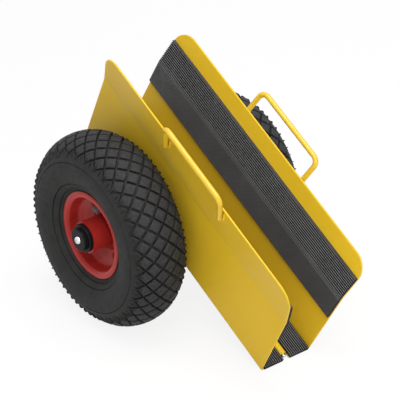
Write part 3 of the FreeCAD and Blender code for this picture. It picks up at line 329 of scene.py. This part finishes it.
def surface(
    name, tones, tone_scale, roughness, grain_scale, grain_depth, specular=PLAIN_SPECULAR, metallic=0,
):
    """A surface with two mottled tones, uneven roughness and a fine grain."""
    material = bpy.data.materials.new(name)
    material.use_nodes = True
    nodes = material.node_tree.nodes
    links = material.node_tree.links
    shader = nodes["Principled BSDF"]
    shader.inputs["Specular IOR Level"].default_value = specular
    shader.inputs["Metallic"].default_value = metallic
    coordinates = nodes.new("ShaderNodeTexCoord")
    mottle = noise(nodes, links, coordinates, tone_scale, TONE_DETAIL)
    tone = nodes.new("ShaderNodeMix")
    tone.data_type = "RGBA"
    tone.inputs["A"].default_value = (*tones[0], 1)
    tone.inputs["B"].default_value = (*tones[1], 1)
    links.new(spread(nodes, links, mottle, 0, 1), tone.inputs["Factor"])
    links.new(tone.outputs["Result"], shader.inputs["Base Color"])
    streaks = noise(nodes, links, coordinates, tone_scale * STREAK_SCALE, STREAK_DETAIL)
    links.new(spread(nodes, links, streaks, *roughness), shader.inputs["Roughness"])
    grain = nodes.new("ShaderNodeBump")
    grain.inputs["Distance"].default_value = grain_depth
    links.new(noise(nodes, links, coordinates, grain_scale, GRAIN_DETAIL), grain.inputs["Height"])
    links.new(grain.outputs["Normal"], shader.inputs["Normal"])
    return material


materials = {name: surface(name, **look) for name, look in LOOKS.items()}


def dress_solids():
    """Give each solid its slot's material, or the look of its own."""
    finishes = dict(slots)
    for side_name in SIDES:
        for part, look in OWN_LOOKS.items():
            finishes[f"{side_name}_{part}"] = look
    for node, solid in frame["nodes"].items():
        solid.data.materials.clear()
        solid.data.materials.append(materials[finishes[node]])


# Building meshes


def piece(name, vertices, faces, slot):
    """A mesh object with its record slot's material, smooth but for its sharp edges."""
    mesh = bpy.data.meshes.new(name)
    mesh.from_pydata(vertices, [], faces)
    building = bmesh.new()
    building.from_mesh(mesh)
    bmesh.ops.recalc_face_normals(building, faces=building.faces)
    building.to_mesh(mesh)
    building.free()
    mesh.shade_smooth()
    mesh.set_sharp_from_angle(angle=SHARP_EDGE)
    mesh.materials.append(materials[slot])
    made = bpy.data.objects.new(name, mesh)
    bpy.context.scene.collection.objects.link(made)
    return made


def ring_faces(rows, columns, closed_rows=False, closed_columns=False, first=0):
    """Quads over a grid of vertices that runs row by row."""
    faces = []
    for row in range(rows if closed_rows else rows - 1):
        for column in range(columns if closed_columns else columns - 1):
            next_row = (row + 1) % rows
            next_column = (column + 1) % columns
            corners = (row, column), (row, next_column), (next_row, next_column), (next_row, column)
            faces.append([first + down * columns + along for down, along in corners])
    return faces


def grid_border(count):
    """The vertices once round the border of a square grid."""
    border = [(0, column) for column in range(count)]
    border += [(row, count - 1) for row in range(1, count)]
    border += [(count - 1, column) for column in reversed(range(count - 1))]
    border += [(row, 0) for row in reversed(range(1, count - 1))]
    return [row * count + column for row, column in border]


def tube(name, path, radii, slot):
    """A round tube along a path, with a radius at each point and closed ends."""
    vertices = []
    across = None
    for index, point in enumerate(path):
        ahead = path[min(index + 1, len(path) - 1)] - path[max(index - 1, 0)]
        ahead.normalize()
        across = ahead.orthogonal() if across is None else across - ahead * across.dot(ahead)
        across.normalize()
        other = ahead.cross(across)
        for side in range(TUBE_SIDES):
            angle = 2 * math.pi * side / TUBE_SIDES
            vertices.append(point + (across * math.cos(angle) + other * math.sin(angle)) * radii[index])
    faces = ring_faces(len(path), TUBE_SIDES, closed_columns=True)
    faces.append(list(range(TUBE_SIDES)))
    faces.append(list(range((len(path) - 1) * TUBE_SIDES, len(path) * TUBE_SIDES)))
    return piece(name, vertices, faces, slot)


def arc(start, end, turn, steps):
    """Points of an arc that turns left by an angle, or right by a negative one, without its last point."""
    chord = end - start
    radius = chord.length / (2 * math.sin(turn / 2))
    left = Vector((-chord.y, chord.x)).normalized()
    centre = (start + end) / 2 + left * radius * math.cos(turn / 2)
    first = math.atan2(start.y - centre.y, start.x - centre.x)
    angles = [first + turn * step / steps for step in range(steps)]
    return [centre + Vector((math.cos(angle), math.sin(angle))) * abs(radius) for angle in angles]


def bent(corners):
    """A closed outline through corners of (x, radius, bend), each rounded by its bend."""
    line = []
    for index, (x, radius, bend) in enumerate(corners):
        corner = Vector((x, radius))
        arriving = (corner - Vector(corners[index - 1][:2])).normalized()
        leaving = (Vector(corners[(index + 1) % len(corners)][:2]) - corner).normalized()
        turn = math.atan2(arriving.x * leaving.y - arriving.y * leaving.x, arriving.dot(leaving))
        reach = bend * math.tan(abs(turn) / 2)
        if bend:
            line += arc(corner - arriving * reach, corner + leaving * reach, turn, BEND_STEPS)
        line.append(corner + leaving * reach)
    return line


# Tyres


def wheel_point(middle, side, point, angle):
    """A point of a wheel's section, as (reach, radius), turned to an angle about the axle."""
    return middle + Vector((side * point.x, point.y * math.cos(angle), point.y * math.sin(angle)))


class Section:
    """The tyre's outer line, measured along it from the middle of the crown to the bead."""

    def __init__(self, radius, half_width):
        crown_edge = radius - TYRE_CROWN_HALF_WIDTH * math.tan(TYRE_CROWN_TURN / 4)
        crown = Vector((0, radius))
        edge = Vector((TYRE_CROWN_HALF_WIDTH, crown_edge))
        widest = Vector((half_width, TYRE_WIDEST_RADIUS))
        foot = Vector((TYRE_FOOT_HALF_WIDTH, TYRE_FOOT_RADIUS))
        line = arc(foot, widest, TYRE_SIDEWALL_TURN, SIDEWALL_STEPS)
        line += arc(widest, edge, TYRE_SHOULDER_TURN, SHOULDER_STEPS)
        line += arc(edge, crown, TYRE_CROWN_TURN / 2, CROWN_STEPS) + [crown]
        self.points = line[::-1]
        self.lengths = [0.0]
        for before, after in zip(self.points, self.points[1:]):
            self.lengths.append(self.lengths[-1] + (after - before).length)

    def at(self, reach, drop):
        """The point at a reach from the crown, on either side, sunk below the line by a drop."""
        distance = min(abs(reach), self.lengths[-1])
        index = next(step for step in range(1, len(self.lengths)) if self.lengths[step] >= distance)
        before, after = self.points[index - 1], self.points[index]
        share = (distance - self.lengths[index - 1]) / (self.lengths[index] - self.lengths[index - 1])
        along = (after - before).normalized()
        inward = Vector((along.y, -along.x))
        place = before.lerp(after, share) + inward * drop
        return Vector((math.copysign(place.x, reach), place.y))


def smooth_step(value, start, end):
    """0 up to the start, 1 from the end, and a smooth rise between them."""
    share = min(max((value - start) / (end - start), 0), 1)
    return share * share * (3 - 2 * share)


def groove_drop(reach):
    """How deep the carcass lies under the blocks' tops, at a reach from the crown."""
    return GROOVE_DEPTH * (1 - smooth_step(abs(reach), GROOVE_FADE_START, GROOVE_FADE_END))


def carcass_drop(reach):
    """The carcass with the fine moulded lines round its sidewall."""
    lines = [max(0, 1 - abs(abs(reach) - place) / SIDEWALL_LINE_HALF_WIDTH) for place in SIDEWALL_LINES]
    return groove_drop(reach) + SIDEWALL_LINE_DEPTH * max(lines)


def carcass_section(section):
    """The closed section of the tyre without its blocks, as (x, radius) points."""
    half = section.lengths[-1]
    outside = [half - 2 * half * step / CARCASS_STEPS for step in range(CARCASS_STEPS + 1)]
    line = [section.at(reach, carcass_drop(reach)) for reach in outside]
    bead_out, bead_in = TYRE_FOOT_HALF_WIDTH, TYRE_FOOT_HALF_WIDTH - TYRE_BEAD_WIDTH
    line += [Vector((-bead_out, TYRE_BEAD_RADIUS)), Vector((-bead_in, TYRE_BEAD_RADIUS))]
    inside = [INSIDE_SHARE * half * (2 * step / INSIDE_STEPS - 1) for step in range(INSIDE_STEPS + 1)]
    line += [section.at(reach, TYRE_WALL + GROOVE_DEPTH) for reach in inside]
    line += [Vector((bead_in, TYRE_BEAD_RADIUS)), Vector((bead_out, TYRE_BEAD_RADIUS))]
    return line


def add_carcass(vertices, faces, section, place):
    """The tyre without its blocks, once round the wheel."""
    line = carcass_section(section)
    around = BLOCKS_AROUND * CARCASS_STEPS_PER_BLOCK
    for step in range(around):
        vertices += [place(point, 2 * math.pi * step / around) for point in line]
    faces += ring_faces(around, len(line), closed_rows=True, closed_columns=True)


def block_drop(reach, edge, flat):
    """How far down a block's surface lies, at a share of the way from its middle to its edge."""
    if edge == 1:
        return groove_drop(reach) + BLOCK_SINK
    return BLOCK_BEVEL if edge > flat else 0


def add_blocks(vertices, faces, section, place):
    """The tread's blocks, column by column: a flat top, a bevel and a foot sunk into the carcass."""
    half_angle = math.pi / BLOCKS_AROUND
    half_reach = section.points[0].y * half_angle
    half_pitch = half_reach / math.sqrt(2)
    half_side = half_pitch - GROOVE_WIDTH / 2
    block = half_side / half_pitch
    bevel = 1 - BLOCK_LEAN / half_side
    flat = bevel - BLOCK_BEVEL_WIDTH / half_side
    lines = [-1, -bevel, -flat, -flat / 2, 0, flat / 2, flat, bevel, 1]
    border = grid_border(len(lines))
    for column in range(BLOCK_COLUMNS):
        column_reach = (column - BLOCK_COLUMNS // 2) * half_reach
        for turn in range(BLOCKS_AROUND):
            column_angle = (2 * turn + column % 2) * half_angle
            first = len(vertices)
            for row_line in lines:
                for column_line in lines:
                    reach = column_reach + (row_line + column_line) / 2 * half_reach * block
                    angle = column_angle + (row_line - column_line) / 2 * half_angle * block
                    edge = max(abs(row_line), abs(column_line))
                    vertices.append(place(section.at(reach, block_drop(reach, edge, flat)), angle))
            faces += ring_faces(len(lines), len(lines), first=first)
            faces.append([first + corner for corner in border])


def add_fins(vertices, faces, section, place):
    """Thin fins across both shoulders, each narrower at its top."""
    for facing in (1, -1):
        for fin in range(SHOULDER_FINS):
            fin_angle = 2 * math.pi * fin / SHOULDER_FINS
            first = len(vertices)
            for reach, height in FIN_HEIGHTS:
                base = section.at(facing * reach, groove_drop(reach) + BLOCK_SINK)
                top = section.at(facing * reach, -height)
                wide = FIN_HALF_WIDTH / base.y
                narrow = wide * FIN_TOP_SHARE
                vertices += [place(base, fin_angle - wide), place(top, fin_angle - narrow)]
                vertices += [place(top, fin_angle + narrow), place(base, fin_angle + wide)]
            last = len(vertices) - FIN_CORNERS
            faces += ring_faces(len(FIN_HEIGHTS), FIN_CORNERS, closed_columns=True, first=first)
            faces += [[end + corner for corner in range(FIN_CORNERS)] for end in (first, last)]


def tyre(side_name):
    """A tyre's carcass, blocks and fins. All but the outermost columns of blocks are of a lighter mottled
    rubber, partly painted light from above.
    """
    side = SIDES[side_name]
    low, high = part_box(f"{side_name}_tyre")
    middle = (low + high) / 2
    section = Section((high.z - low.z) / 2, (high.x - low.x) / 2)

    def place(point, angle):
        return wheel_point(middle, side, point, angle + tilt)

    vertices, faces = [], []
    add_carcass(vertices, faces, section, place)
    first_block_face = len(faces)
    add_blocks(vertices, faces, section, place)
    first_fin_face = len(faces)
    add_fins(vertices, faces, section, place)
    made = piece(f"{side_name}_treaded_tyre", vertices, faces, "tyre_rubber")
    made.data.materials.append(materials["tread_rubber"])
    column_faces = (first_fin_face - first_block_face) // BLOCK_COLUMNS
    for face in made.data.polygons[first_block_face + column_faces:first_fin_face - column_faces]:
        face.material_index = 1
    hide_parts(f"{side_name}_tyre")
    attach(made, f"{side_name}_wheel")


# Rims


def outer_rim(side_name):
    """The wheel's pressed outer half, from the hub tube over its dish and the tyre's seat to the lip."""
    side = SIDES[side_name]
    low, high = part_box(f"{side_name}_tyre")
    middle = (low + high) / 2
    lip_back = RIM_LIP_REACH - RIM_SHEET
    seat_back = RIM_SEAT_RADIUS + RIM_SHEET
    line = bent((
        (RIM_SHEET, RIM_HUB_RADIUS, 0),
        (RIM_SHEET, RIM_NECK_RADIUS, RIM_NECK_BEND),
        (RIM_DISH_REACH, RIM_DISH_RADIUS, RIM_DISH_BEND),
        (RIM_WELL_REACH, RIM_SEAT_RADIUS, RIM_WELL_BEND),
        (RIM_LIP_REACH - RIM_LIP_CROWN, RIM_SEAT_RADIUS, RIM_LIP_BEND),
        (RIM_LIP_REACH, RIM_LIP_MIDDLE, RIM_CROWN_BEND),
        (RIM_LIP_REACH - RIM_LIP_CROWN, RIM_LIP_RADIUS, RIM_EDGE_BEND),
        (lip_back, RIM_LIP_RADIUS, RIM_EDGE_BEND),
        (lip_back, seat_back, RIM_SEAT_BEND),
        (RIM_WELL_REACH - RIM_SHEET / 2, seat_back, 0),
        (0, RIM_NECK_RADIUS + RIM_SHEET / 4, 0),
        (0, RIM_HUB_RADIUS, 0),
    ))
    vertices = []
    for step in range(RIM_STEPS):
        angle = 2 * math.pi * step / RIM_STEPS
        vertices += [wheel_point(middle, side, point, angle) for point in line]
    faces = ring_faces(RIM_STEPS, len(line), closed_rows=True, closed_columns=True)
    made = piece(f"{side_name}_pressed_rim", vertices, faces, "red_paint")
    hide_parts(f"{side_name}_outer_rim")
    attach(made, f"{side_name}_wheel")


# Rubber pads


def level_points(node):
    """A solid's corners in the level frame."""
    return [levelling @ vertex.co for vertex in frame["nodes"][node].data.vertices]


def span(points, axis):
    """The lowest and the highest value of some points on an axis."""
    values = [point[axis] for point in points]
    return min(values), max(values)


def ribbed(start, end, outward, depth, tones):
    """Rounded ribs along a face, as (x, z) points with the tone after each: the crest's or the side's."""
    run = (end - start).length
    along = (end - start) / run
    ribs = round(run / RIB_PITCH)
    points = []
    crest = run / ribs / 2 - RIB_GROOVE / 2
    for step in range(ribs * RIB_STEPS):
        beside = abs(step % RIB_STEPS / RIB_STEPS - 0.5) * run / ribs
        beside_next = abs((step % RIB_STEPS + 1) / RIB_STEPS - 0.5) * run / ribs
        dip = depth * (1 - math.sqrt(1 - min(1, beside / crest) ** RIB_SQUARENESS))
        tone = tones[0] if beside + beside_next < 2 * crest * RIB_CREST_SHARE else tones[1]
        points.append((start + along * (run * step / (ribs * RIB_STEPS)) - outward * dip, tone))
    return points


def pad(name, outline, front, rear, body):
    """A pad with an outline of (x, z) points and tones, run from a front to a rear reach."""
    points, tones = zip(*outline)
    count = len(points)
    reaches = [front, front + PAD_END_BEVEL, rear - PAD_END_BEVEL, rear]
    insets = [PAD_END_INSET, 0, 0, PAD_END_INSET]
    centre = sum(points, Vector((0, 0))) / count
    vertices = []
    for reach, inset in zip(reaches, insets):
        for point in points:
            drawn = point + (centre - point).normalized() * inset
            vertices.append(standing @ Vector((drawn.x, reach, drawn.y)))
    faces = ring_faces(len(reaches), count, closed_columns=True)
    faces.append(list(range(count)))
    faces.append(list(range((len(reaches) - 1) * count, len(reaches) * count)))
    made = piece(f"{name}_ribbed", vertices, faces, PAD_TONES[BODY_TONE])
    for tone in PAD_TONES[1:]:
        made.data.materials.append(materials[tone])
    # Both ends and their bevels take the near-black rubber: painted shade
    for face in made.data.polygons:
        between_ends = face.index // count == 1
        face.material_index = tones[face.index % count] if between_ends else SHADE_TONE
    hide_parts(name)
    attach(made, body)


def flat_point(point):
    """A point of the level frame seen along the dolly, as (x, z)."""
    return Vector((point.x, point.z))


def grip_pad(side_name):
    """The jaw's pad, bent across the plate's fold, with its ribs along the dolly."""
    side = SIDES[side_name]
    name = f"{side_name}_grip_pad"
    points = level_points(name)
    front, rear = span(points, Y)
    corners = [flat_point(point) for point in points]
    low_back = min(corners, key=lambda corner: corner.y)
    high_front = max(corners, key=lambda corner: corner.y)
    high_back = max(corners, key=lambda corner: abs(corner.x))
    low_front = min(corners, key=lambda corner: abs(corner.x))
    chord = (high_front - low_front).normalized()
    inward = Vector((-side * chord.y, side * chord.x))
    bend_front = max(corners, key=lambda corner: (corner - low_front).dot(inward))
    thickness = (high_front - high_back).length
    lower_way = (bend_front - low_front).normalized()
    upper_way = (high_front - bend_front).normalized()
    lower_out = Vector((-side * lower_way.y, side * lower_way.x))
    upper_out = Vector((-side * upper_way.y, side * upper_way.x))
    mitre = (lower_out + upper_out).normalized()
    bend_back = bend_front - mitre * thickness / mitre.dot(lower_out)
    # The last ribs below the fold get pale crests: a painted highlight along the bend
    fold_highlight_start = bend_front - lower_way * FOLD_HIGHLIGHT_WIDTH
    outline = ribbed(low_front, fold_highlight_start, lower_out, SHALLOW_RIB_DEPTH, (BODY_TONE, BODY_TONE))
    outline += ribbed(fold_highlight_start, bend_front, lower_out, SHALLOW_RIB_DEPTH, (CREST_TONE, BODY_TONE))
    # Deep ribs of the upper band: pale crests and near-black grooves, a painted highlight and painted
    # shade
    outline += ribbed(bend_front, high_front, upper_out, RIB_DEPTH, (CREST_TONE, SHADE_TONE))
    outline += [(corner, BODY_TONE) for corner in (high_front, high_back, bend_back, low_back)]
    pad(name, outline, front, rear, f"{side_name}_half")


def base_pad(side_name):
    """The bed's pad beside the hinge, which stands a little over the front edge of its flange."""
    name = f"{side_name}_base_pad"
    points = level_points(name)
    low_x, high_x = span(points, X)
    front, rear = span(points, Y)
    bottom, crest = span(points, Z)
    # Pale crests and near-black grooves: a painted highlight and painted shade
    tones = (CREST_TONE, SHADE_TONE)
    outline = ribbed(Vector((low_x, crest)), Vector((high_x, crest)), Vector((0, 1)), RIB_DEPTH, tones)
    for corner in ((high_x, crest), (high_x, bottom), (low_x, bottom)):
        outline.append((Vector(corner), BODY_TONE))
    pad(name, outline, front - PAD_OVERHANG, rear, f"{side_name}_half")


# Return springs


def return_spring(name):
    """A leg to the left, the turns round the pin and a leg to the right, standing still as the jaws close.
    """
    start = min(point.y for point in level_points(name)) + SPRING_WIRE / 2
    end = start + SPRING_PITCH * SPRING_TURNS
    axis_height = (levelling @ hinge_place).z
    leg_height = axis_height - SPRING_RADIUS
    steps = SPRING_TURNS * SPRING_STEPS_PER_TURN
    path = []
    for step in range(SPRING_LEG_STEPS):
        path.append(Vector((-SPRING_LEG * (1 - step / SPRING_LEG_STEPS), start, leg_height)))
    for step in range(steps + 1):
        angle = 2 * math.pi * SPRING_TURNS * step / steps - math.pi / 2
        across, up = SPRING_RADIUS * math.cos(angle), SPRING_RADIUS * math.sin(angle)
        path.append(Vector((across, start + (end - start) * step / steps, axis_height + up)))
    for step in range(1, SPRING_LEG_STEPS + 1):
        path.append(Vector((SPRING_LEG * step / SPRING_LEG_STEPS, end, leg_height)))
    path = [standing @ point for point in path]
    made = tube(f"{name}_wire", path, [SPRING_WIRE / 2] * len(path), "spring_steel")
    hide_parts(name)
    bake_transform(made)


# Welds


def weld(name, path, body, radius):
    """A rippled bead along a path, thinner at its ends and painted over."""
    fine = []
    for before, after in zip(path, path[1:]):
        steps = (after - before).length / WELD_RIPPLE_PITCH * WELD_RIPPLE_STEPS
        count = max(WELD_FEWEST_STEPS, round(steps))
        fine += [before.lerp(after, step / count) for step in range(count)]
    fine.append(path[-1])
    radii = []
    run = 0.0
    for index, point in enumerate(fine):
        run += (point - fine[index - 1]).length if index else 0
        ripple = 1 - WELD_RIPPLE * abs(math.cos(math.pi * run / WELD_RIPPLE_PITCH))
        end = min(index, len(fine) - 1 - index)
        radii.append(radius * ripple * min(1, WELD_END_SHARE + end / WELD_END_STEPS))
    made = tube(name, [standing @ point for point in fine], radii, "yellow_paint")
    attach(made, body)


def handle_welds(side_name):
    """Beads round the feet of a handle, where they lie on the plate's outer face."""
    side = SIDES[side_name]
    handle = level_points(f"{side_name}_handle")
    plate = level_points(f"{side_name}_side_plate")
    foot_height = min(point.z for point in handle)
    front, rear = span(handle, Y)
    feet = [point.x for point in handle if point.z < foot_height + HANDLE_ROD]
    foot_x = sum(feet) / len(feet) - side * HANDLE_ROD / 2
    top = max(plate, key=lambda point: abs(point.x))
    rise = Vector((top.x - foot_x, 0, top.z - foot_height)).normalized()
    leg = rise * HANDLE_WELD_LEG
    for place, reach in (("front", front + HANDLE_ROD / 2), ("rear", rear - HANDLE_ROD / 2)):
        foot = Vector((foot_x, reach, foot_height + HANDLE_WELD_LIFT))
        path = []
        for step in range(HANDLE_WELD_STEPS + 1):
            angle = math.pi * step / HANDLE_WELD_STEPS
            across = Vector((0, math.cos(angle) * HANDLE_ROD * HANDLE_WELD_ACROSS, 0))
            below = rise * math.sin(angle) * HANDLE_ROD * HANDLE_WELD_BELOW
            path.append(foot + across - below)
        path = [path[0] + leg, *path, path[-1] + leg]
        weld(f"{side_name}_{place}_handle_weld", path, f"{side_name}_half", HANDLE_WELD_RADIUS)


def axle_welds(side_name):
    """Beads along both sides of the axle bar under the flange."""
    side = SIDES[side_name]
    bar = level_points(f"{side_name}_axle")
    half = max(point.z for point in bar if abs(point.x) < AXLE_BAR_REACH)
    inner = min(abs(point.x) for point in bar) + AXLE_WELD_INSET
    step_length = (AXLE_WELD_END - inner) / AXLE_WELD_STEPS
    for place, reach in (("front", -half), ("rear", half)):
        reaches = [inner + step_length * step for step in range(AXLE_WELD_STEPS + 1)]
        path = [Vector((side * across, reach, half)) for across in reaches]
        weld(f"{side_name}_{place}_axle_weld", path, f"{side_name}_half", AXLE_WELD_RADIUS)


# The scene


def camera():
    """The camera, at its distance from its aim by azimuth and elevation, and rolled."""
    data = bpy.data.cameras.new("camera")
    data.lens = CAMERA_LENS
    data.sensor_width = CAMERA_SENSOR
    made = bpy.data.objects.new("camera", data)
    bpy.context.scene.collection.objects.link(made)
    flat_reach = math.cos(CAMERA_ELEVATION)
    back = Vector((
        math.sin(CAMERA_AZIMUTH) * flat_reach,
        -math.cos(CAMERA_AZIMUTH) * flat_reach,
        math.sin(CAMERA_ELEVATION),
    ))
    made.location = CAMERA_AIM + back * CAMERA_DISTANCE
    made.rotation_mode = "QUATERNION"
    made.rotation_quaternion = (-back).to_track_quat("-Z", "Y") @ Quaternion((0, 0, 1), CAMERA_ROLL)
    bpy.context.scene.camera = made


def lamp(name, place, size, power):
    """A round lamp that faces the dolly."""
    data = bpy.data.lights.new(name, "AREA")
    data.shape = "DISK"
    data.size = size
    data.energy = power
    made = bpy.data.objects.new(name, data)
    bpy.context.scene.collection.objects.link(made)
    made.location = place
    made.rotation_mode = "QUATERNION"
    made.rotation_quaternion = (LAMP_AIM - Vector(place)).to_track_quat("-Z", "Y")


def seen_directly(nodes, links):
    """1 for what the camera sees directly, in a mirror or through glass, and 0 for light on the object."""
    path = nodes.new("ShaderNodeLightPath")
    total = path.outputs["Is Camera Ray"]
    for ray in ("Is Glossy Ray", "Is Transmission Ray"):
        adding = nodes.new("ShaderNodeMath")
        adding.operation = "ADD"
        adding.use_clamp = True
        links.new(total, adding.inputs[0])
        links.new(path.outputs[ray], adding.inputs[1])
        total = adding.outputs["Value"]
    return total


def world():
    """A surround that is seen as white and lights the dolly less brightly."""
    made = bpy.data.worlds.new("studio")
    bpy.context.scene.world = made
    made.use_nodes = True
    nodes = made.node_tree.nodes
    links = made.node_tree.links
    mapping = nodes.new("ShaderNodeMapRange")
    mapping.inputs["To Min"].default_value = WORLD_LIGHT
    mapping.inputs["To Max"].default_value = 1
    links.new(seen_directly(nodes, links), mapping.inputs["Value"])
    nodes["Background"].inputs["Color"].default_value = (1, 1, 1, 1)
    links.new(mapping.outputs["Result"], nodes["Background"].inputs["Strength"])


def floor():
    """A white floor that keeps a soft shadow."""
    mesh = bpy.data.meshes.new("floor")
    corners = [(-1, -1), (1, -1), (1, 1), (-1, 1)]
    mesh.from_pydata([(x * FLOOR_REACH, y * FLOOR_REACH, 0) for x, y in corners], [], [(0, 1, 2, 3)])
    material = bpy.data.materials.new("floor")
    material.use_nodes = True
    nodes = material.node_tree.nodes
    links = material.node_tree.links
    shader = nodes["Principled BSDF"]
    shader.inputs["Base Color"].default_value = (FLOOR_GREY, FLOOR_GREY, FLOOR_GREY, 1)
    shader.inputs["Roughness"].default_value = FLOOR_ROUGHNESS
    glow = nodes.new("ShaderNodeEmission")
    glow.inputs["Color"].default_value = (1, 1, 1, 1)
    mixing = nodes.new("ShaderNodeMixShader")
    share = nodes.new("ShaderNodeMapRange")
    share.inputs["To Min"].default_value = 0
    share.inputs["To Max"].default_value = FLOOR_WHITE_SHARE
    links.new(seen_directly(nodes, links), share.inputs["Value"])
    links.new(share.outputs["Result"], mixing.inputs["Fac"])
    links.new(shader.outputs["BSDF"], mixing.inputs[1])
    links.new(glow.outputs["Emission"], mixing.inputs[2])
    links.new(mixing.outputs["Shader"], nodes["Material Output"].inputs["Surface"])
    mesh.materials.append(material)
    made = bpy.data.objects.new("floor", mesh)
    bpy.context.scene.collection.objects.link(made)


dress_solids()
for side_name in SIDES:
    tyre(side_name)
    outer_rim(side_name)
    grip_pad(side_name)
    base_pad(side_name)
    handle_welds(side_name)
    axle_welds(side_name)
for spring in ("front_return_spring", "rear_return_spring"):
    return_spring(spring)

bpy.context.scene.view_settings.view_transform = "Standard"
camera()
world()
floor()
for name, place, size, power in LAMPS:
    lamp(name, place, size, power)
